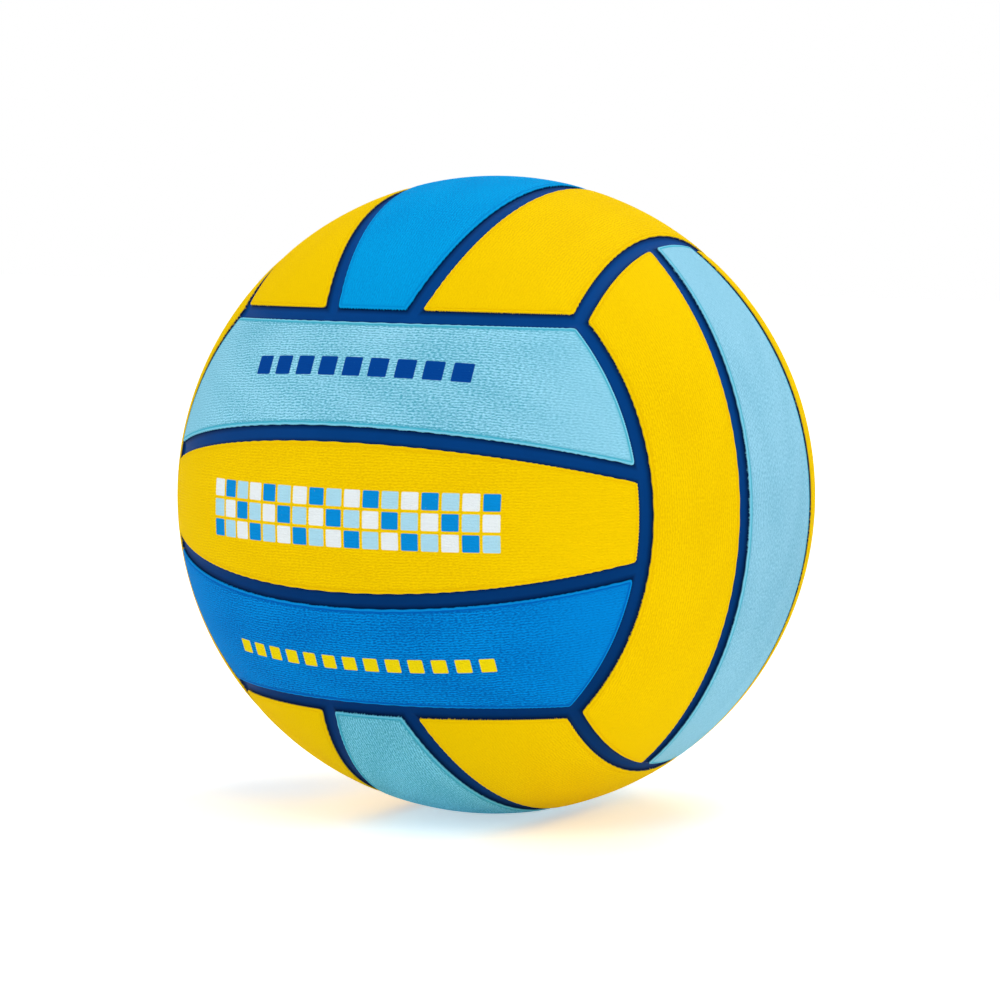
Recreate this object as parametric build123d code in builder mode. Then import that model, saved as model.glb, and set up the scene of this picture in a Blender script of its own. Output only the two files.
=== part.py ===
"""Water polo ball: eighteen rubber cover panels on a ribbed carcass, over a wound layer and an air bladder.

The ball's centre is the origin and +Z is up. The front face looks along -Y, and the valve points along +Y.
Each of the six faces holds three strips, and the strips of neighbouring faces run at right angles.
"""

import os
from math import acos, asin, cos, degrees, radians, sin, sqrt

from build123d import *

# Driving dimensions, in millimetres and degrees
ball_diameter = 220.0
panel_thickness = 1.2
panel_edge_radius = 0.6
panel_corner_radius = 1.6
panel_draft = 5.0
channel_width = 5.2
rib_height = 0.4
middle_panel_waist = 53.6
inner_seam_tilt = 15.7
outer_seam_tilt = 1.8
carcass_wall = 0.5
winding_wall = 0.4
bladder_wall = 0.7
bond_line = 0.1

valve_neck_radius = 4.5
valve_neck_recess = 0.2
valve_boss_radius = 6.0
valve_boss_length = 12.0
valve_flange_radius = 15.0
valve_flange_thickness = 1.0
valve_edge_radius = 0.3

core_head_radius = 3.2
core_head_thickness = 1.4
core_stem_radius = 2.4
core_fit = 0.1
lip_length = 6.0
lip_tip_thickness = 1.2
lip_slit = 0.2
needle_radius = 1.2
needle_depth = 10.0
needle_lead_in = 0.5

# Radii of the layers, from the outside in
ball_radius = ball_diameter / 2
panel_seat_radius = ball_radius - panel_thickness
carcass_radius = panel_seat_radius - bond_line
rib_radius = carcass_radius + rib_height
winding_radius = carcass_radius - carcass_wall - bond_line
bladder_radius = winding_radius - winding_wall - bond_line
air_radius = bladder_radius - bladder_wall
flange_top_radius = air_radius - bond_line
flange_seat_radius = flange_top_radius - valve_flange_thickness

# The valve's radii, and its levels along +Y from the ball's centre
valve_port_radius = valve_neck_radius + bond_line
head_seat_radius = core_head_radius + core_fit
valve_bore_radius = core_stem_radius + core_fit
neck_top = ball_radius - valve_neck_recess
head_seat = neck_top - core_head_thickness
boss_end = flange_seat_radius - valve_boss_length
lip_end = boss_end - lip_length
needle_end = neck_top - needle_depth

# Half the angle of the cone that a seam between two faces lies on, from the ball's centre: the seam's tilted
# plane goes through two corners of a cube
outer_tilt = radians(outer_seam_tilt)
seam_cone_angle = degrees(acos((cos(outer_tilt) - sin(outer_tilt)) / sqrt(3)))
CENTRE = (0, 0, 0)

# Each face: its outward normal, the way its strips run, and the names of its strips across them
FACES = {
    "front": ((0, -1, 0), (1, 0, 0), ("lower", "middle", "upper")),
    "back": ((0, 1, 0), (-1, 0, 0), ("lower", "middle", "upper")),
    "top": ((0, 0, 1), (0, -1, 0), ("left", "middle", "right")),
    "bottom": ((0, 0, -1), (0, 1, 0), ("left", "middle", "right")),
    "right": ((1, 0, 0), (0, 0, -1), ("front", "middle", "rear")),
    "left": ((-1, 0, 0), (0, 0, 1), ("front", "middle", "rear")),
}
STRIP_SIDES = (-1, 0, 1)
VALVE_PANEL = ("back", 0)


def face_place(face):
    """Where a face's own frame lies: X along its strips, Y across them and Z outwards."""
    normal, along, _ = FACES[face]
    return Plane(origin=CENTRE, x_dir=along, z_dir=normal).location


def inner_seam(side, shift):
    """The plane of the seam beside the middle strip, moved outwards by shift, in a face's frame."""
    half_waist = middle_panel_waist / 2
    waist_height = sqrt(ball_radius**2 - half_waist**2)
    tilt = radians(inner_seam_tilt)
    away = Vector(0, side * cos(tilt), -sin(tilt))
    return Plane(origin=Vector(0, side * half_waist, waist_height) + away * shift, z_dir=away)


def cone_profile(polar_angle, draft):
    """Half of a cone's section about Y: its wall meets the ball at a polar angle and leans by the draft."""
    half_angle = radians(polar_angle - draft)
    apex = -ball_radius * sin(radians(draft)) / sin(half_angle)
    slant = 2 * ball_radius
    rim = (slant * sin(half_angle), apex + slant * cos(half_angle))
    Polygon((0, apex), rim, (0, rim[1]), align=None)


def layer(outer_radius, inner_radius):
    """A spherical layer, with its poles on X so that they lie clear of every strip."""
    Sphere(outer_radius, rotation=(0, 90, 0))
    Sphere(inner_radius, rotation=(0, 90, 0), mode=Mode.SUBTRACT)


def strip_form(side, bottom_radius, top_radius, gap, corner_radius):
    """One strip between two radii in its face's frame, with half the gap taken off along each seam."""
    half_gap_angle = degrees(asin(gap / 2 / ball_radius))
    with BuildPart() as form:
        layer(top_radius, bottom_radius)
        for end in (-1, 1):
            section = Plane(origin=CENTRE, x_dir=(cos(outer_tilt), 0, end * sin(outer_tilt)), z_dir=(0, -1, 0))
            with BuildSketch(section):
                cone_profile(seam_cone_angle - half_gap_angle, panel_draft)
            revolve(axis=Axis(CENTRE, section.y_dir), mode=Mode.INTERSECT)
        if side == 0:
            for seam_side in (-1, 1):
                split(bisect_by=inner_seam(seam_side, -gap / 2), keep=Keep.BOTTOM)
        else:
            split(bisect_by=inner_seam(side, gap / 2), keep=Keep.TOP)
            section = Plane(origin=CENTRE, x_dir=(1, 0, 0), z_dir=(0, sin(outer_tilt), side * cos(outer_tilt)))
            with BuildSketch(section):
                cone_profile(seam_cone_angle + half_gap_angle, -panel_draft)
            revolve(axis=Axis(CENTRE, section.y_dir), mode=Mode.SUBTRACT)
        corners = form.edges().sort_by(SortBy.LENGTH)[:4]
        fillet(corners, corner_radius)
    return form.part


def panel_form(side):
    """One cover panel in its face's frame: a curved rubber strip with a rounded outer edge."""
    with BuildPart() as form:
        add(strip_form(side, panel_seat_radius, ball_radius, channel_width, panel_corner_radius))
        outer_face = form.faces().sort_by(SortBy.AREA)[-1]
        fillet(outer_face.edges(), panel_edge_radius)
    return form.part


os.makedirs("parts", exist_ok=True)

# What is cut from each layer to let the valve's neck through
with BuildPart() as valve_port:
    with BuildSketch(Plane.XZ):
        Circle(valve_port_radius)
    extrude(amount=-2 * ball_radius)

# The eighteen cover panels
panel_forms = {side: panel_form(side) for side in STRIP_SIDES}
for face_name, (_, _, strip_names) in FACES.items():
    for strip_side, strip_name in zip(STRIP_SIDES, strip_names):
        with BuildPart() as panel:
            add(panel_forms[strip_side].moved(face_place(face_name)))
            if (face_name, strip_side) == VALVE_PANEL:
                add(valve_port.part, mode=Mode.SUBTRACT)
        panel.part.label = f"{face_name}_{strip_name}_panel"
        export_step(panel.part, f"parts/{panel.part.label}.step")

# The carcass, whose ribs stand between the panels and show as the floor of the channels
pocket_gap = channel_width - 2 * bond_line
pocket_corner_radius = panel_corner_radius + bond_line
pocket_forms = [
    strip_form(side, carcass_radius, ball_radius, pocket_gap, pocket_corner_radius) for side in STRIP_SIDES
]
with BuildPart() as carcass:
    layer(rib_radius, carcass_radius - carcass_wall)
    for face_name in FACES:
        for pocket in pocket_forms:
            add(pocket.moved(face_place(face_name)), mode=Mode.SUBTRACT)
    add(valve_port.part, mode=Mode.SUBTRACT)
carcass.part.label = "carcass"
export_step(carcass.part, "parts/carcass.step")

# The wound thread layer
with BuildPart() as thread_winding:
    layer(winding_radius, winding_radius - winding_wall)
    add(valve_port.part, mode=Mode.SUBTRACT)
thread_winding.part.label = "thread_winding"
export_step(thread_winding.part, "parts/thread_winding.step")

# The air bladder
with BuildPart() as bladder:
    layer(bladder_radius, air_radius)
    add(valve_port.part, mode=Mode.SUBTRACT)
bladder.part.label = "bladder"
export_step(bladder.part, "parts/bladder.step")

# The valve housing: a flange inside the bladder, a boss below it and a neck out to the cover
with BuildPart() as valve_housing:
    with BuildSketch(Plane.XY) as housing_section:
        with BuildLine():
            rim_angle = degrees(acos(valve_flange_radius / flange_top_radius))
            neck_angle = degrees(acos(valve_neck_radius / flange_top_radius))
            boss_angle = degrees(acos(valve_boss_radius / flange_seat_radius))
            flange_top = CenterArc(CENTRE, flange_top_radius, rim_angle, neck_angle - rim_angle)
            flange_foot = CenterArc(CENTRE, flange_seat_radius, rim_angle, boss_angle - rim_angle)
            Line(flange_foot @ 0, flange_top @ 0)
            Polyline(
                flange_top @ 1,
                (valve_neck_radius, neck_top),
                (head_seat_radius, neck_top),
                (head_seat_radius, head_seat),
                (valve_bore_radius, head_seat),
                (valve_bore_radius, boss_end),
                (valve_boss_radius, boss_end),
                flange_foot @ 1,
            )
        make_face()
        ends = housing_section.vertices().sort_by(Axis.Y)
        rim = housing_section.vertices().sort_by(Axis.X)[-2:]
        fillet(ends[:2] + ends[-2:] + rim, valve_edge_radius)
    revolve(axis=Axis.Y)
valve_housing.part.label = "valve_housing"
export_step(valve_housing.part, "parts/valve_housing.step")

# The valve core: a plug with a head, a stem and flat lips that close on a slit
with BuildPart() as valve_core:
    with BuildSketch(Plane.XY) as core_section:
        with BuildLine():
            Polyline(
                (0, needle_end),
                (needle_radius, needle_end),
                (needle_radius, neck_top - needle_lead_in),
                (needle_radius + needle_lead_in, neck_top),
                (core_head_radius, neck_top),
                (core_head_radius, head_seat),
                (core_stem_radius, head_seat),
                (core_stem_radius, lip_end),
                (0, lip_end),
                close=True,
            )
        make_face()
    revolve(axis=Axis.Y)
    with BuildSketch(Plane.YZ):
        for side in (-1, 1):
            Polygon(
                (boss_end, side * core_stem_radius),
                (lip_end, side * lip_tip_thickness / 2),
                (lip_end, side * core_stem_radius),
                align=None,
            )
    extrude(amount=core_stem_radius, both=True, mode=Mode.SUBTRACT)
    with BuildSketch(Plane.XZ.offset(-lip_end)):
        Rectangle(2 * needle_radius, lip_slit)
    extrude(amount=lip_end - needle_end, mode=Mode.SUBTRACT)
valve_core.part.label = "valve_core"
export_step(valve_core.part, "parts/valve_core.step")
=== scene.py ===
import math

import bmesh
import bpy
import numpy as np
from mathutils import Matrix, Vector


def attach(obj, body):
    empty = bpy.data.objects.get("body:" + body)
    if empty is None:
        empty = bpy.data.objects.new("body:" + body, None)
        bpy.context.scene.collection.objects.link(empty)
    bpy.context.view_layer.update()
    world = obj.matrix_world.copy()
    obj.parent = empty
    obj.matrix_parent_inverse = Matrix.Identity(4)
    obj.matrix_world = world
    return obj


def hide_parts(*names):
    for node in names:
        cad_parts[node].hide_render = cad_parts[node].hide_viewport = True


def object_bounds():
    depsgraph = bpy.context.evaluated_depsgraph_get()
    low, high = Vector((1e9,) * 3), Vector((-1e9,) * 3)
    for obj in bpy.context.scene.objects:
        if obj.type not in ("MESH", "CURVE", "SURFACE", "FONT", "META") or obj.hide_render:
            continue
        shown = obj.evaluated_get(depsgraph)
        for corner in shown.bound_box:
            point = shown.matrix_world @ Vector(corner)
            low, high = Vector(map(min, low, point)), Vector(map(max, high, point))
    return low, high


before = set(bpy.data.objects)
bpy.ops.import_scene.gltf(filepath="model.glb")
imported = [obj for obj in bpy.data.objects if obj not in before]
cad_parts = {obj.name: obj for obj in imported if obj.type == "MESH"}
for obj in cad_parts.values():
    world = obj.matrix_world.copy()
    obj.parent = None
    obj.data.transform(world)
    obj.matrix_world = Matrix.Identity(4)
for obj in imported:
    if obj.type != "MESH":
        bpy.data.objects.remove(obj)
cadLow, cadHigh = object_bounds()
print("frame loaded:", len(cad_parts), "nodes")

mm = 0.001
ball = {
    "radius": (cadHigh.x - cadLow.x) / 2,
    "channelWidth": 5.2 * mm,
    "middleWaist": 53.6 * mm,  # between the seams beside a middle strip
    "innerTilt": math.radians(15.7),  # how the plane of a seam beside a middle strip leans
    "outerTilt": math.radians(1.8),  # the same for a seam between two faces
}
radius = ball["radius"]
innerTilt, outerTilt = ball["innerTilt"], ball["outerTilt"]
halfWaist = ball["middleWaist"] / 2 / radius
innerOffset = halfWaist * math.cos(innerTilt) - math.sqrt(1 - halfWaist**2) * math.sin(innerTilt)
outerOffset = (math.cos(outerTilt) - math.sin(outerTilt)) / math.sqrt(3)  # through two corners of a cube
outerAngle = math.asin(outerOffset)

# each face: outward normal, the way its strips run, and its strips with their covers
faces = {
    "front": ((0, -1, 0), (1, 0, 0), (("lower", "blue"), ("middle", "yellow"), ("upper", "lightBlue"))),
    "back": ((0, 1, 0), (-1, 0, 0), (("lower", "blue"), ("middle", "yellow"), ("upper", "lightBlue"))),
    "top": ((0, 0, 1), (0, -1, 0), (("left", "yellow"), ("middle", "azure"), ("right", "yellow"))),
    "bottom": ((0, 0, -1), (0, 1, 0), (("left", "yellow"), ("middle", "aqua"), ("right", "yellow"))),
    "right": ((1, 0, 0), (0, 0, -1), (("front", "yellow"), ("middle", "sky"), ("rear", "yellow"))),
    "left": ((-1, 0, 0), (0, 0, 1), (("front", "yellow"), ("middle", "azure"), ("rear", "yellow"))),
}


def faceFrame(face):
    outward, lengthwise = (Vector(direction) for direction in faces[face][:2])
    return Matrix((lengthwise, outward.cross(lengthwise), outward)).transposed()


def addObject(name, data):
    obj = bpy.data.objects.new(name, data)
    bpy.context.scene.collection.objects.link(obj)
    return obj


def getVertices(mesh):
    flat = np.zeros(len(mesh.vertices) * 3, np.float32)
    mesh.vertices.foreach_get("co", flat)
    return flat.reshape(-1, 3).astype(float)


def getDirections(mesh):
    points = getVertices(mesh)
    return points / np.linalg.norm(points, axis=1)[:, None]


def setVertices(mesh, points):
    mesh.vertices.foreach_set("co", points.astype(np.float32).ravel())
    mesh.update()


def shadeSmooth(mesh):
    mesh.polygons.foreach_set("use_smooth", np.ones(len(mesh.polygons), bool))


# covers: colours of the grain's hollows and crests, with painted shade in the hollows and a painted highlight on the
# crests, of the crease and bead along the rim, with painted shade in the crease and a painted highlight on the bead,
# and how far the grain calms down towards the strip's ends
covers = {
    "yellow": {
        "slot": "yellow_cover",
        "hollowShade": (0.81, 0.50, 0.0002),
        "crestHighlight": (0.94, 0.64, 0.0003),
        "creaseShade": (0.85, 0.53, 0.0002),
        "beadHighlight": (0.89, 0.59, 0.0005),
        "calm": 0.7,
    },
    "lightBlue": {
        "slot": "light_blue_cover",
        "hollowShade": (0.07, 0.375, 0.53),
        "crestHighlight": (0.365, 0.765, 0.955),
        "creaseShade": (0.05, 0.44, 0.60),
        "beadHighlight": (0.20, 0.61, 0.80),
        "calm": 0.7,
    },
    # the bottom middle's light blue: partly its own deeper shade, partly painted shade of the underside
    "aqua": {
        "slot": "light_blue_cover",
        "hollowShade": (0.056, 0.345, 0.465),
        "crestHighlight": (0.235, 0.69, 0.875),
        "creaseShade": (0.04, 0.40, 0.55),
        "beadHighlight": (0.13, 0.53, 0.70),
        "calm": 0.1,
    },
    "sky": {
        "slot": "light_blue_cover",
        "hollowShade": (0.17, 0.46, 0.625),
        "crestHighlight": (0.335, 0.675, 0.855),
        "creaseShade": (0.05, 0.44, 0.60),
        "beadHighlight": (0.20, 0.61, 0.80),
        "calm": 0.7,
    },
    "blue": {
        "slot": "blue_cover",
        "hollowShade": (0.0002, 0.105, 0.41),
        "crestHighlight": (0.0006, 0.29, 0.79),
        "creaseShade": (0.0002, 0.12, 0.49),
        "beadHighlight": (0.002, 0.25, 0.68),
        "calm": 0.7,
    },
    # the top and left middles' blue: partly its own lighter shade, partly painted light from above
    "azure": {
        "slot": "blue_cover",
        "hollowShade": (0.0002, 0.235, 0.62),
        "crestHighlight": (0.0004, 0.39, 0.82),
        "creaseShade": (0.0002, 0.26, 0.65),
        "beadHighlight": (0.001, 0.325, 0.735),
        "calm": 0.6,
    },
}
coverFinish = {
    "roughness": 0.7,
    "specular": 0.012,
    "bump": 0.8,
    "bumpDepth": 0.22 * mm,
    "bumpShares": {"grain": 0.75, "stipple": 0.25},
    # scale, detail and roughness of each noise
    "grain": (2.1, 2.0, 0.5),
    "stipple": (2.6, 2.0, 0.55),
    "teeth": (1.1, 3.0, 0.6),
    "cloud": (26.0, 3.0, 0.55),
    "stretch": 0.5,  # of the grain along the strip
    # the middle value of each thing that sets the tone, and its weight: grain and ridges set painted shade and
    # highlight, the cloud a random tone
    "grainShade": (0.5, 2.1),
    "ridgeShade": (0.37, 0.8),
    "cloudTone": (0.5, 0.08),
    "calmTone": 0.6,
    "calmReach": (40.0, 85.0),  # mm from the strip's middle
    # mm in from the outline: where the wall turns into the bead, the bead into the crease, and that into the pad
    "beadEdge": (-0.02, 0.1),
    "creaseEdge": (0.5, 0.82),
    "padEdge": (0.8, 1.5),
    "ragged": 0.3,  # mm by which the colour's edge on the wall wanders
    "raggedPatches": (0.47, 0.62),  # tones of the cloud from which it does
}
ink = {"corner": 0.8, "edge": 0.12, "wear": (0.12, 0.3)}  # rounding and softness in mm, and grain that it misses
collar = {"radius": 8.4, "creaseEdge": (7.5, 8.0), "padEdge": (8.2, 8.7), "bumpEdge": (8.2, 9.0)}  # mm from the valve

# bands of plain tiles printed on the front strips: mm between tiles, half a tile's width, the band's level,
# tiles each way from its middle, and tile colours
prints = {
    "front_upper": {
        "pitch": 9.4,
        "half": 3.3,
        "middle": 33.0,
        "columns": 4,
        "rows": 0,
        "colors": ((0.001, 0.055, 0.30),),
    },
    "front_middle": {
        "pitch": 6.6,
        "half": 2.8,
        "middle": 0.0,
        "columns": 8,
        "rows": 1,
        "colors": ((0.002, 0.26, 0.68), (0.40, 0.70, 0.84), (0.80, 0.86, 0.88)),
    },
    "front_lower": {
        "pitch": 7.8,
        "half": 2.5,
        "middle": -33.0,
        "columns": 6,
        "rows": 0,
        "colors": ((0.88, 0.70, 0.004),),
    },
}

# rubbers and thread: the cloud is its noise's scale and how far it shifts the colour
rubbers = {
    "navyRubber": {
        "color": (0.0008, 0.042, 0.19),
        "footShade": (0.0004, 0.017, 0.08),  # painted shade along the sides of a channel and on the panels' walls
        "roughness": 0.55,
        "specular": 0.018,
        "cloud": (40.0, 0.12),
    },
    "woundThread": {"color": (0.72, 0.70, 0.62), "roughness": 0.8, "specular": 0.2, "cloud": (300.0, 0.2)},
    "bladderRubber": {"color": (0.02, 0.02, 0.02), "roughness": 0.5, "specular": 0.3, "cloud": (60.0, 0.2)},
    "valveRubber": {"color": (0.022, 0.022, 0.026), "roughness": 0.45, "specular": 0.35, "cloud": (120.0, 0.15)},
    "coreRubber": {"color": (0.03, 0.03, 0.034), "roughness": 0.4, "specular": 0.35, "cloud": (120.0, 0.15)},
}
rubberFinish = {
    "cloud": (4.0, 0.6),  # detail and roughness of the noise
    "pores": (900.0, 2.0),  # scale and detail of the noise
    "bump": 0.08,
    "bumpDepth": 0.1 * mm,
    "footShadeReach": (-0.2, 1.7),  # mm in from a channel's side, over which the painted shade fades
    "lowShadeLevels": (-0.06, 0.08),  # metres up, over which the painted shade lightens
    "lowShadeTones": (0.82, 0.48),  # painted shade at the lower level, and the rise from there
}


class NodeSheet:
    # short calls for adding and joining the shader nodes of a material or a world
    def __init__(self, owner):
        owner.use_nodes = True
        self.owner = owner
        self.tree = owner.node_tree
        self.shader = self.tree.nodes.get("Principled BSDF")

    def add(self, kind, **settings):
        node = self.tree.nodes.new(kind)
        for key, value in settings.items():
            setattr(node, key, value)
        return node

    def feed(self, socket, value):
        if isinstance(value, bpy.types.NodeSocket):
            self.tree.links.new(value, socket)
        else:
            socket.default_value = value

    def set(self, name, value):
        self.feed(self.shader.inputs[name], value)

    def math(self, operation, first, second=0.0, third=0.0):
        node = self.add("ShaderNodeMath", operation=operation)
        for socket, value in zip(node.inputs, (first, second, third)):
            self.feed(socket, value)
        return node.outputs[0]

    def shift(self, base, value, middle, weight):
        return self.math("MULTIPLY_ADD", self.math("SUBTRACT", value, middle), weight, base)

    def ramp(self, value, low, high):
        node = self.add("ShaderNodeMapRange", interpolation_type="SMOOTHSTEP")
        for key, setting in (("Value", value), ("From Min", low), ("From Max", high)):
            self.feed(node.inputs[key], setting)
        return node.outputs["Result"]

    def blend(self, share, first, second, mode="MIX"):
        node = self.add("ShaderNodeMix", data_type="RGBA", blend_type=mode)
        self.feed(node.inputs[0], share)
        for socket, value in ((node.inputs[6], first), (node.inputs[7], second)):
            self.feed(socket, (*value, 1) if isinstance(value, tuple) else value)
        return node.outputs[2]

    def noise(self, vector, scale, detail=2.0, roughness=0.5):
        node = self.add("ShaderNodeTexNoise")
        self.feed(node.inputs["Vector"], vector)
        for key, value in (("Scale", scale), ("Detail", detail), ("Roughness", roughness)):
            node.inputs[key].default_value = value
        return node.outputs["Fac"]

    def attribute(self, name, output="Fac"):
        return self.add("ShaderNodeAttribute", attribute_name=name).outputs[output]

    def place(self, kind="Object"):
        return self.add("ShaderNodeTexCoord").outputs[kind]

    def split(self, vector):
        node = self.add("ShaderNodeSeparateXYZ")
        self.feed(node.inputs[0], vector)
        return node.outputs

    def join(self, x, y):
        node = self.add("ShaderNodeCombineXYZ")
        self.feed(node.inputs[0], x)
        self.feed(node.inputs[1], y)
        return node.outputs[0]

    def length(self, vector):
        node = self.add("ShaderNodeVectorMath", operation="LENGTH")
        self.feed(node.inputs[0], vector)
        return node.outputs["Value"]

    def bump(self, height, strength, depth):
        node = self.add("ShaderNodeBump")
        for key, value in (("Height", height), ("Strength", strength), ("Distance", depth)):
            self.feed(node.inputs[key], value)
        self.set("Normal", node.outputs[0])

    def backdropRays(self):
        # rays that see the floor and the world as a white backdrop
        rays = self.add("ShaderNodeLightPath").outputs
        glossyOrCamera = self.math("MAXIMUM", rays["Is Camera Ray"], rays["Is Glossy Ray"])
        return self.math("MAXIMUM", glossyOrCamera, rays["Is Transmission Ray"])


def tiles(sheet, along, across, band, color, grain):
    # lays a band of square tiles over a colour, with ink that misses the deepest grain
    pitch, half = band["pitch"], band["half"]
    column = sheet.math("ROUND", sheet.math("DIVIDE", along, pitch))
    level = sheet.math("SUBTRACT", across, band["middle"])
    row = sheet.math("ROUND", sheet.math("DIVIDE", level, pitch))
    side = sheet.math("ABSOLUTE", sheet.math("MULTIPLY_ADD", column, -pitch, along))
    rise = sheet.math("ABSOLUTE", sheet.math("MULTIPLY_ADD", row, -pitch, level))
    reach = sheet.math("SMOOTH_MAX", side, rise, ink["corner"])
    inTile = sheet.ramp(reach, half + ink["edge"], half - ink["edge"])
    inColumns = sheet.math("LESS_THAN", sheet.math("ABSOLUTE", column), band["columns"] + 0.5)
    inRows = sheet.math("LESS_THAN", sheet.math("ABSOLUTE", row), band["rows"] + 0.5)
    mask = sheet.math("MULTIPLY", sheet.math("MULTIPLY", inTile, inColumns), inRows)
    tint, *others = band["colors"]
    turn = sheet.math("FLOORED_MODULO", sheet.math("ADD", column, row), len(band["colors"]))
    for number, other in enumerate(others, 1):
        tint = sheet.blend(sheet.math("COMPARE", turn, number, 0.2), tint, other)
    mask = sheet.math("MULTIPLY", mask, sheet.ramp(grain, *ink["wear"]))
    return sheet.blend(mask, color, tint)


def coverMaterial(name, cover, band=None, hasCollar=False):
    colors, finish = covers[cover], coverFinish
    sheet = NodeSheet(bpy.data.materials.new(name))
    strip = sheet.attribute("strip", "Vector")
    along, across, edge = sheet.split(strip)
    grain = sheet.noise(sheet.join(sheet.math("MULTIPLY", along, finish["stretch"]), across), *finish["grain"])
    stipple = sheet.noise(strip, *finish["stipple"])
    teeth = sheet.noise(strip, *finish["teeth"])
    cloud = sheet.noise(sheet.place(), *finish["cloud"])
    padShare = sheet.ramp(edge, *finish["padEdge"])
    # painted shade in the grain's hollows and a painted highlight on its crests, and a calmer grain towards the
    # strip's ends
    tone = sheet.shift(0.5, grain, *finish["grainShade"])
    tone = sheet.shift(tone, sheet.attribute("relief"), *finish["ridgeShade"])
    tone = sheet.shift(tone, cloud, *finish["cloudTone"])
    ends = sheet.ramp(sheet.math("ABSOLUTE", along), *finish["calmReach"])
    calm = sheet.math("MULTIPLY", ends, colors["calm"])
    tone = sheet.math("MULTIPLY_ADD", sheet.math("SUBTRACT", finish["calmTone"], tone), calm, tone)
    pad = sheet.blend(sheet.ramp(tone, 0.0, 1.0), colors["hollowShade"], colors["crestHighlight"])
    if band:
        pad = tiles(sheet, along, across, band, pad, grain)
    bumpShare = padShare
    if hasCollar:  # smooth round seat about the valve in the bead's highlighted colour, with painted shade in the crease at its edge
        span = sheet.length(sheet.join(along, across))
        seat = sheet.blend(sheet.ramp(span, *collar["creaseEdge"]), colors["beadHighlight"], colors["creaseShade"])
        pad = sheet.blend(sheet.ramp(span, *collar["padEdge"]), seat, pad)
        bumpShare = sheet.math("MULTIPLY", padShare, sheet.ramp(span, *collar["bumpEdge"]))
    # smooth bead along the rim with a painted highlight, a crease inside it with painted shade, and the wall down to
    # the channel in the channel's painted foot shade
    rim = sheet.blend(sheet.ramp(edge, *finish["creaseEdge"]), colors["beadHighlight"], colors["creaseShade"])
    color = sheet.blend(padShare, rim, pad)
    patches = sheet.ramp(cloud, *finish["raggedPatches"])
    ragged = sheet.math("MULTIPLY", sheet.math("SUBTRACT", teeth, 0.5), patches)
    wall = sheet.math("MULTIPLY_ADD", ragged, finish["ragged"], edge)  # uneven line where the colour ends
    # the wall takes the channel's painted foot shade
    footShade = rubbers["navyRubber"]["footShade"]
    sheet.set("Base Color", sheet.blend(sheet.ramp(wall, *finish["beadEdge"]), footShade, color))
    shares = finish["bumpShares"]
    height = sheet.math("MULTIPLY_ADD", grain, shares["grain"], sheet.math("MULTIPLY", stipple, shares["stipple"]))
    sheet.bump(sheet.math("MULTIPLY", height, bumpShare), finish["bump"], finish["bumpDepth"])
    sheet.set("Roughness", finish["roughness"])
    sheet.set("Specular IOR Level", finish["specular"])
    return sheet.owner


def rubberMaterial(name):
    rubber, finish = rubbers[name], rubberFinish
    sheet = NodeSheet(bpy.data.materials.new(name))
    place = sheet.place()
    scale, spread = rubber["cloud"]
    shade = sheet.shift(1.0, sheet.noise(place, scale, *finish["cloud"]), 0.5, 2 * spread)
    color = sheet.blend(1.0, rubber["color"], shade, "MULTIPLY")
    if "footShade" in rubber:  # painted shade into the corners along a channel's sides, and painted shade deeper low down, as under light from above
        low, rise = finish["lowShadeTones"]
        up = sheet.split(place)["Z"]
        lowShade = sheet.math("MULTIPLY_ADD", sheet.ramp(up, *finish["lowShadeLevels"]), rise, low)
        color = sheet.blend(sheet.ramp(sheet.attribute("within"), *finish["footShadeReach"]), rubber["footShade"], color)
        color = sheet.blend(1.0, color, lowShade, "MULTIPLY")
    sheet.set("Base Color", color)
    sheet.bump(sheet.noise(place, *finish["pores"]), finish["bump"], finish["bumpDepth"])
    sheet.set("Roughness", rubber["roughness"])
    sheet.set("Specular IOR Level", rubber["specular"])
    return sheet.owner


coverMaterials = {cover: coverMaterial(f"{cover}Cover", cover) for cover in covers}
print("materials made")

# cover panels
panel = {
    "columns": 200,
    "rows": {"middle": 172, "outer": 128},
    "closeUp": 0.35,  # share of the columns' spacing that closes up towards the ends
    "under": {"columns": 24, "rows": 8, "size": 0.97},
    "halfLength": 90 * mm,
    "halfWidth": {"middle": 21 * mm, "outer": 17 * mm},
    "cornerRadius": 1.1 * mm,
    "leastCorner": 0.05 * mm,
    "seatDepth": 1.2 * mm,
    "padInset": 1.3,  # mm
    # inset from the outline and drop below the ball's surface, from the pad outwards, in mm
    "rim": (
        (1.12, 0.10),
        (1.0, 0.17),
        (0.88, 0.18),
        (0.76, 0.12),
        (0.58, 0.08),
        (0.42, 0.08),
        (0.28, 0.13),
        (0.14, 0.25),
        (0.05, 0.42),
        (0.0, 0.62),
        (-0.02, 0.95),
        (-0.05, 1.2),
    ),
    "ragged": 0.1 * mm,  # how uneven the moulded edge is
    "raggedWaves": (977, 613),  # along and across
    "ridgePitch": 0.93,  # mm
    "ridgeHeight": 0.12 * mm,
    "ridgeFade": {"rim": 0.7, "collar": 1.2},  # mm over which the ridges rise
    "seedStep": 1.37,  # between one panel's grain and the next
}
rimInsets = [inset for inset, drop in panel["rim"]]
rimDrops = [drop for inset, drop in panel["rim"]]
solveSteps = 24


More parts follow.
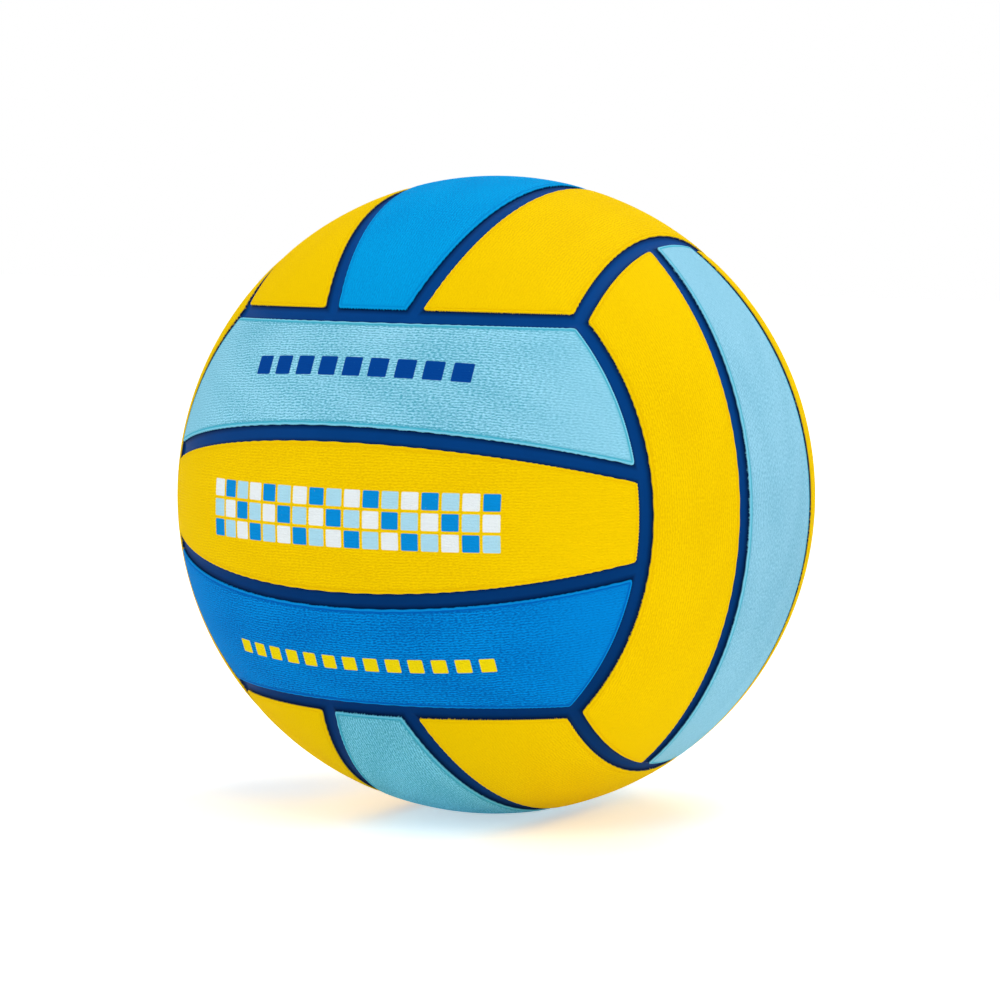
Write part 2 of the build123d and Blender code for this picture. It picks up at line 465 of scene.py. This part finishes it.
def stripPoints(outer, x, y, gap):
    # unit vectors for places from -1 to 1 lengthwise and sideways on the strip, for a gap at its seams
    halfGap = gap / 2 / radius
    end, edge = np.sin(outerAngle + halfGap), np.sin(outerAngle - halfGap)
    turn = np.zeros_like(x)
    for _ in range(solveSteps):
        if outer:
            low = innerTilt + np.arcsin((innerOffset + halfGap) / np.cos(turn))
            high = outerTilt + np.arcsin(edge / np.cos(turn))
        else:
            high = innerTilt + np.arcsin((innerOffset - halfGap) / np.cos(turn))
            low = -high
        tilt = low + (high - low) * (y + 1) / 2
        level = math.cos(outerTilt) * np.cos(tilt)
        lean = math.sin(outerTilt)
        reach = np.arccos(end / np.hypot(level, lean)) - np.arctan2(lean, level)
        turn = (turn + x * reach) / 2
    return np.stack((np.sin(turn), np.cos(turn) * np.sin(tilt), np.cos(turn) * np.cos(tilt)), axis=1)


def roundCorners(x, y, cornerX, cornerY):
    # pulls the corners of the square outline on to an arc
    pastX = np.clip((np.abs(x) - (1 - cornerX)) / cornerX, 0, None)
    pastY = np.clip((np.abs(y) - (1 - cornerY)) / cornerY, 0, None)
    reach = np.maximum(np.hypot(pastX, pastY), 1)
    pull = np.where((pastX > 0) & (pastY > 0), 1 / reach, 1)
    newX = np.where(pastX > 0, np.sign(x) * (1 - cornerX + cornerX * pastX * pull), x)
    newY = np.where(pastY > 0, np.sign(y) * (1 - cornerY + cornerY * pastY * pull), y)
    return newX, newY


def stripPlaces(outer, points):
    # millimetres along and across the grain
    tilt = (innerTilt + outerTilt) / 2 if outer else 0
    across = points[:, 1] * math.cos(tilt) - points[:, 2] * math.sin(tilt)
    scale = radius / mm
    return np.arcsin(points[:, 0]) * scale, np.arcsin(across) * scale


def crepeHeight(along, across, seed):
    # ridges that wander, join and fade in patches: three waves of a few mm sway them, two longer ones fade them
    wander = 0.7 * np.sin(along / 1.15 + 2.1 * np.sin(across / 4.3 + seed) + 1.7 * seed)
    wander += 0.7 * np.sin(along / 0.46 - across / 2.3 + 1.3 * np.sin(along / 6.1 + 0.6 * seed))
    wander += 1.6 * np.sin(along / 7.3 + across / 3.9 + 2.6 * seed)
    ridges = 0.5 + 0.5 * np.cos(2 * math.pi * across / panel["ridgePitch"] + wander)
    lengthFade = np.sin(along / 9.7 + 1.9 * np.sin(across / 7.3 + seed))
    sideFade = np.sin(across / 6.1 + 2.3 * seed + along / 17)
    return ridges * (0.78 + 0.22 * lengthFade * sideFade)


def panelForm(kind):
    # a dense pad, its rim grown ring by ring, and a coarse underside; rings are numbered outwards from the pad at 0
    bm = bmesh.new()
    ring = bm.verts.layers.int.new("ring")
    bmesh.ops.create_grid(bm, x_segments=panel["columns"], y_segments=panel["rows"][kind], size=1)
    loop = [edge for edge in bm.edges if edge.is_boundary]
    for number in range(1, len(panel["rim"]) + 1):
        grown = bmesh.ops.extrude_edge_only(bm, edges=loop)["geom"]
        for vert in (part for part in grown if isinstance(part, bmesh.types.BMVert)):
            vert[ring] = number
        loop = [part for part in grown if isinstance(part, bmesh.types.BMEdge) and part.is_boundary]
    under = panel["under"]
    underGrid = bmesh.ops.create_grid(bm, x_segments=under["columns"], y_segments=under["rows"], size=under["size"])
    underVerts = underGrid["verts"]
    for vert in underVerts:
        vert[ring] = -1
    underFaces = {face for vert in underVerts for face in vert.link_faces}
    bmesh.ops.reverse_faces(bm, faces=list(underFaces))
    underLoop = {edge for vert in underVerts for edge in vert.link_edges if edge.is_boundary}
    bmesh.ops.bridge_loops(bm, edges=loop + list(underLoop))
    mesh = bpy.data.meshes.new("panelForm")
    bm.to_mesh(mesh)
    bm.free()
    rings = np.zeros(len(mesh.vertices), np.int32)
    mesh.attributes["ring"].data.foreach_get("value", rings)
    mesh.attributes.remove(mesh.attributes["ring"])
    return mesh, rings


def panelPlaces(kind, flat, rings):
    # direction of each vertex of a panel's form, and its drop below the ball's surface
    closeUp = panel["closeUp"]
    x = np.sin(flat[:, 0] * math.pi / 2) * closeUp + flat[:, 0] * (1 - closeUp)
    y = flat[:, 1]
    points = np.zeros((len(x), 3))
    drops = np.zeros(len(x))
    ringInsets = [inset * mm for inset in (panel["padInset"], *rimInsets)]
    ringDrops = [drop * mm for drop in (0.0, *rimDrops)]
    waveX, waveY = panel["raggedWaves"]
    for number in range(-1, len(ringInsets)):
        here = rings == number
        inset = ringInsets[number]  # the underside takes the last ring's
        ringX, ringY = x[here], y[here]
        uneven = 0
        if number > 0:
            share = 1 - inset / ringInsets[0]
            uneven = panel["ragged"] * share * np.sin(ringX * waveX + ringY * waveY)
            corner = max(panel["cornerRadius"] - inset, panel["leastCorner"])
            cornerX, cornerY = corner / panel["halfLength"], corner / panel["halfWidth"][kind]
            ringX, ringY = roundCorners(ringX, ringY, cornerX, cornerY)
        gap = ball["channelWidth"] + 2 * (inset + uneven)
        points[here] = stripPoints(kind == "outer", ringX, ringY, gap)
        drops[here] = panel["seatDepth"] if number < 0 else ringDrops[number]
    return points, drops


def seamDistance(outer, points):
    # distance in from the nearest edge of the strip's outline
    x, y, z = np.abs(points[:, 0]), points[:, 1], points[:, 2]
    halfGap = ball["channelWidth"] / 2 / radius
    fromEnd = np.arcsin(z * math.cos(outerTilt) - x * math.sin(outerTilt)) - outerAngle
    fromSeam = y * math.cos(innerTilt) - z * math.sin(innerTilt) - innerOffset
    if outer:
        fromEdge = outerAngle - np.arcsin(y * math.cos(outerTilt) - z * math.sin(outerTilt))
        return (np.minimum(np.minimum(fromEnd, fromSeam), fromEdge) - halfGap) * radius
    otherSeam = -y * math.cos(innerTilt) - z * math.sin(innerTilt) - innerOffset
    return (np.minimum(np.minimum(fromEnd, -fromSeam), -otherSeam) - halfGap) * radius


forms = {}
for kind in panel["rows"]:
    form, rings = panelForm(kind)
    forms[kind] = (form, rings, *panelPlaces(kind, getVertices(form), rings))
print("panel forms made:", {kind: len(form[0].polygons) for kind, form in forms.items()})

valve = {"panel": "back_middle", "portRadius": 4.6 * mm, "segments": 64, "depth": 20 * mm}


def makePanel(face, side, strip, cover, seed):
    title = f"{face}_{strip}"
    outer = side != 0
    form, rings, points, drops = forms["outer" if outer else "middle"]
    along, across = stripPlaces(outer, points)
    inset = seamDistance(outer, points) / mm
    pad = rings == 0
    fade = np.clip((inset - panel["padInset"]) / panel["ridgeFade"]["rim"], 0, 1)
    if title == valve["panel"]:
        fromCollar = np.hypot(along, across) - collar["radius"]
        fade = fade * np.clip(fromCollar / panel["ridgeFade"]["collar"], 0, 1)
    grain = crepeHeight(along, across, seed) * fade * pad
    height = radius - drops + pad * panel["ridgeHeight"] * (grain - 1)
    turn = -1 if side < 0 else 1  # half a turn about the face's centre for the lower side
    place = np.array(faceFrame(face)) @ np.diag((turn, turn, 1))
    mesh = form.copy()
    mesh.name = f"{title}_cover"
    setVertices(mesh, (points * height[:, None]) @ place.T)
    shadeSmooth(mesh)
    underInset = -1.0  # well inside the wall's colour
    edge = np.where(pad, np.maximum(inset, panel["padInset"]), np.array([0.0, *rimInsets, underInset])[rings])
    relief = mesh.attributes.new("relief", "FLOAT", "POINT").data
    relief.foreach_set("value", grain.astype(np.float32))
    places = np.stack((turn * along, turn * across, edge), axis=1)
    mesh.attributes.new("strip", "FLOAT_VECTOR", "POINT").data.foreach_set("vector", places.astype(np.float32).ravel())
    obj = addObject(mesh.name, mesh)
    material = coverMaterials[cover]
    if title in prints:
        material = coverMaterial(f"{title}Cover", cover, prints[title])
    elif title == valve["panel"]:
        material = coverMaterial(f"{title}Cover", cover, hasCollar=True)
    mesh.materials.append(material)
    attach(obj, "ball")
    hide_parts(f"{face}_{strip}_panel")
    return obj


pieces = {}
for face, (_, _, strips) in faces.items():
    for side, (strip, cover) in zip((-1, 0, 1), strips):
        seed = panel["seedStep"] * len(pieces)
        pieces[f"{face}_{strip}"] = makePanel(face, side, strip, cover, seed)
print("panels made:", len(pieces))

# carcass, whose dished ribs show as the floor of the channels
carcass = {
    "cells": 40,
    "innerCells": 20,
    "lines": (0.0, 0.8, 1.5, 2.1, 2.5, 2.95),  # mm from the middle of a channel
    "reach": 7 * mm,  # how near a seam a face of the mesh is cut
    "cornerShare": 0.95,  # how far round a corner of a cube the end seams go
    "weld": 0.05 * mm,
    "floorDrop": 1.7 * mm,
    "footDrop": 0.95 * mm,
    "bedInset": 0.15 * mm,
    "bedDrop": 1.3 * mm,
    "innerDrop": 1.85 * mm,
}


def roundedCube(bm, cells):
    # a cube cut into a fine grid and blown up into a ball
    verts = bmesh.ops.create_cube(bm, size=2)["verts"]
    edges = {edge for vert in verts for edge in vert.link_edges}
    bmesh.ops.subdivide_edges(bm, edges=list(edges), cuts=cells - 1, use_grid_fill=True)
    for vert in bm.verts:
        vert.co = Vector([math.tan(value * math.pi / 4) for value in vert.co]).normalized() * radius


def scoreSeam(bm, place, isNear, normal, distances):
    # lines along one seam, in a face's own frame
    normal = place @ normal
    geom = [face for face in bm.faces if isNear(place.transposed() @ face.calc_center_median() / radius)]
    edges = {edge for face in geom for edge in face.edges}
    verts = {vert for face in geom for vert in face.verts}
    geom += [*edges, *verts]
    for distance in distances:
        cut = bmesh.ops.bisect_plane(
            bm, geom=geom, dist=carcass["weld"], plane_co=normal * distance, plane_no=normal
        )
        geom = cut["geom"]


def channelInset(points):
    # how far each point lies inside the nearest panel's outline; below zero in a channel
    best = np.full(len(points), -1.0)
    for face in faces:
        local = points @ np.array(faceFrame(face))
        for turn, outer in ((1, False), (1, True), (-1, True)):
            best = np.maximum(best, seamDistance(outer, local * np.array((turn, turn, 1))))
    return best


bm = bmesh.new()
roundedCube(bm, carcass["cells"])
reach = carcass["reach"] / radius
offsets = sorted({sign * line * mm for line in carcass["lines"] for sign in (-1, 1)})
endDistances = [radius * math.sin(outerAngle + offset / radius) for offset in offsets]
seamDistances = [radius * innerOffset + offset for offset in offsets]
for face in faces:
    place = faceFrame(face)
    for sign in (-1, 1):
        endNormal = Vector((-sign * math.sin(outerTilt), 0, math.cos(outerTilt)))
        seamNormal = Vector((0, sign * math.cos(innerTilt), -math.sin(innerTilt)))

        def nearEnd(point):
            onSide = sign * point.x > carcass["cornerShare"] * abs(point.y) - reach
            return onSide and abs(point @ endNormal - outerOffset) < reach

        def nearSeam(point):
            return abs(point @ seamNormal - innerOffset) < reach and point.z > outerOffset - reach

        scoreSeam(bm, place, nearEnd, endNormal, endDistances)
        scoreSeam(bm, place, nearSeam, seamNormal, seamDistances)
mesh = bpy.data.meshes.new("carcass_shell")
bm.to_mesh(mesh)
bm.free()
points = getDirections(mesh)
inset = channelInset(points)
dish = np.clip(-inset / (ball["channelWidth"] / 2), 0, 1)
drop = carcass["footDrop"] + (carcass["floorDrop"] - carcass["footDrop"]) * (1 - (1 - dish) ** 2)
drop = np.where(inset > carcass["bedInset"], carcass["bedDrop"], drop)
setVertices(mesh, points * (radius - drop)[:, None])
print("carcass scored:", len(mesh.polygons))
inner = bmesh.new()
roundedCube(inner, carcass["innerCells"])
bmesh.ops.scale(inner, verts=inner.verts, vec=(1 - carcass["innerDrop"] / radius,) * 3)
bmesh.ops.reverse_faces(inner, faces=inner.faces)
inner.from_mesh(mesh)
inner.to_mesh(mesh)
inner.free()
shadeSmooth(mesh)
within = mesh.attributes.new("within", "FLOAT", "POINT").data  # mm in from the side of a channel
within.foreach_set("value", (-channelInset(getDirections(mesh)) / mm).astype(np.float32))
shell = addObject(mesh.name, mesh)
mesh.materials.append(rubberMaterial("navyRubber"))
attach(shell, "ball")
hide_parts("carcass")
print("carcass made")

# the valve's port through the cover and the carcass
drill = bmesh.new()
bmesh.ops.create_cone(
    drill,
    cap_ends=True,
    segments=valve["segments"],
    radius1=valve["portRadius"],
    radius2=valve["portRadius"],
    depth=valve["depth"],
)
bmesh.ops.rotate(drill, verts=drill.verts, matrix=Matrix.Rotation(math.pi / 2, 3, "X"))
bmesh.ops.translate(drill, verts=drill.verts, vec=(0, radius, 0))
drillMesh = bpy.data.meshes.new("drill")
drill.to_mesh(drillMesh)
drill.free()
drillObject = addObject("drill", drillMesh)
for obj in (shell, pieces[valve["panel"]]):
    obj.modifiers.new("port", "BOOLEAN").object = drillObject
    bpy.context.view_layer.update()
    done = bpy.data.meshes.new_from_object(obj.evaluated_get(bpy.context.evaluated_depsgraph_get()))
    obj.modifiers.clear()
    name = obj.data.name
    old, obj.data = obj.data, done
    bpy.data.meshes.remove(old)
    done.name = name
bpy.data.objects.remove(drillObject)
print("valve port cut")

# carried-over nodes
inside = {
    "thread_winding": "woundThread",
    "bladder": "bladderRubber",
    "valve_housing": "valveRubber",
    "valve_core": "coreRubber",
}
for node, rubber in inside.items():
    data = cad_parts[node].data
    data.materials.clear()
    data.materials.append(rubberMaterial(rubber))
print("carried-over nodes dressed")

# camera at the photo's place
view = {
    "azimuth": math.radians(28.17),
    "elevation": math.radians(4.87),
    "roll": math.radians(0.745),
    "distance": 1250.4 * mm,
    "aim": (1.28 * mm, -1.83 * mm),  # along the picture's right and up
    "lens": 130.1,
    "sensor": 36,
    "clipStart": 0.01,
}
azimuth, elevation, roll = view["azimuth"], view["elevation"], view["roll"]
level = math.cos(elevation)
back = Vector((math.sin(azimuth) * level, -math.cos(azimuth) * level, math.sin(elevation)))
right = Vector((math.cos(azimuth), math.sin(azimuth), 0))
up = back.cross(right)
right, up = right * math.cos(roll) + up * math.sin(roll), up * math.cos(roll) - right * math.sin(roll)
place = right * view["aim"][0] + up * view["aim"][1] + back * view["distance"]
cameraData = bpy.data.cameras.new("camera")
cameraData.lens = view["lens"]
cameraData.sensor_width = view["sensor"]
cameraData.clip_start = view["clipStart"]
camera = addObject("camera", cameraData)
camera.matrix_world = Matrix.Translation(place) @ Matrix((right, up, back)).transposed().to_4x4()
bpy.context.scene.camera = camera

# pale floor that reads as white away from the ball's shadow
stage = {
    "size": 12.0,
    "cells": 4,
    "color": (0.95, 0.95, 0.95),
    "roughness": 0.9,
    "lift": 0.45,  # glow that the backdrop's rays see, near the ball and far from it
    "farLift": 0.75,
    "liftReach": (0.4, 2.0),  # metres from the ball's centre
    "fill": 0.17,  # glow of the floor near the ball, seen by rays other than the backdrop's: a painted fill light on the ball's underside
    "fillReach": (0.26, 0.14),
}
ground = bmesh.new()
bmesh.ops.create_grid(ground, x_segments=stage["cells"], y_segments=stage["cells"], size=stage["size"] / 2)
bmesh.ops.translate(ground, verts=ground.verts, vec=(0, 0, cadLow.z))
groundMesh = bpy.data.meshes.new("floor")
ground.to_mesh(groundMesh)
ground.free()
floor = addObject("floor", groundMesh)
paper = NodeSheet(bpy.data.materials.new("floorPaper"))
paper.set("Base Color", (*stage["color"], 1))
paper.set("Roughness", stage["roughness"])
paper.set("Emission Color", (1, 1, 1, 1))
distance = paper.length(paper.place())
far = paper.ramp(distance, *stage["liftReach"])
lift = paper.math("MULTIPLY_ADD", far, stage["farLift"] - stage["lift"], stage["lift"])
fill = paper.math("MULTIPLY", paper.ramp(distance, *stage["fillReach"]), stage["fill"])
glow = paper.math("MULTIPLY_ADD", paper.backdropRays(), paper.math("SUBTRACT", lift, fill), fill)
paper.set("Emission Strength", glow)
groundMesh.materials.append(paper.owner)

# soft studio light: a dome, and broad lamps above, at the sides and low in front
dome = {"low": 0.32, "high": 0.36, "backdrop": 1.0}
lamps = {
    "key": {"place": (0.75, -1.25, 1.6), "size": (1.0, 1.0), "power": 12.5},
    "top": {"place": (0.3, 0.9, 1.8), "size": (1.0, 1.0), "power": 17.5},
    "topLeft": {"place": (-1.3, -0.9, 1.3), "size": (0.8, 0.8), "power": 4.6},
    "left": {"place": (-1.9, -0.9, 0.55), "size": (1.2, 1.0), "power": 8.9},
    "right": {"place": (2.05, 0.25, 0.45), "size": (1.2, 1.0), "power": 9.2},
    "low": {"place": (0.9, -1.7, 0.11), "size": (1.6, 0.4), "power": 4.4},
}
studio = NodeSheet(bpy.data.worlds.new("studio"))
bpy.context.scene.world = studio.owner
background = studio.tree.nodes["Background"]
background.inputs["Color"].default_value = (1, 1, 1, 1)
height = studio.split(studio.place("Generated"))["Z"]
strength = studio.add("ShaderNodeMapRange")
for key, value in (("Value", height), ("To Min", dome["low"]), ("To Max", dome["high"])):
    studio.feed(strength.inputs[key], value)
pick = studio.add("ShaderNodeMix")
for number, value in ((0, studio.backdropRays()), (2, strength.outputs["Result"]), (3, dome["backdrop"])):
    studio.feed(pick.inputs[number], value)
studio.feed(background.inputs["Strength"], pick.outputs[0])
for name, lamp in lamps.items():
    light = bpy.data.lights.new(name, "AREA")
    light.shape = "RECTANGLE"
    light.size, light.size_y = lamp["size"]
    light.energy = lamp["power"]
    obj = addObject(name, light)
    place = Vector(lamp["place"])
    obj.matrix_world = Matrix.Translation(place) @ place.to_track_quat("Z", "Y").to_matrix().to_4x4()
    obj.visible_camera = False
bpy.context.scene.view_settings.view_transform = "Standard"
print("stage set")
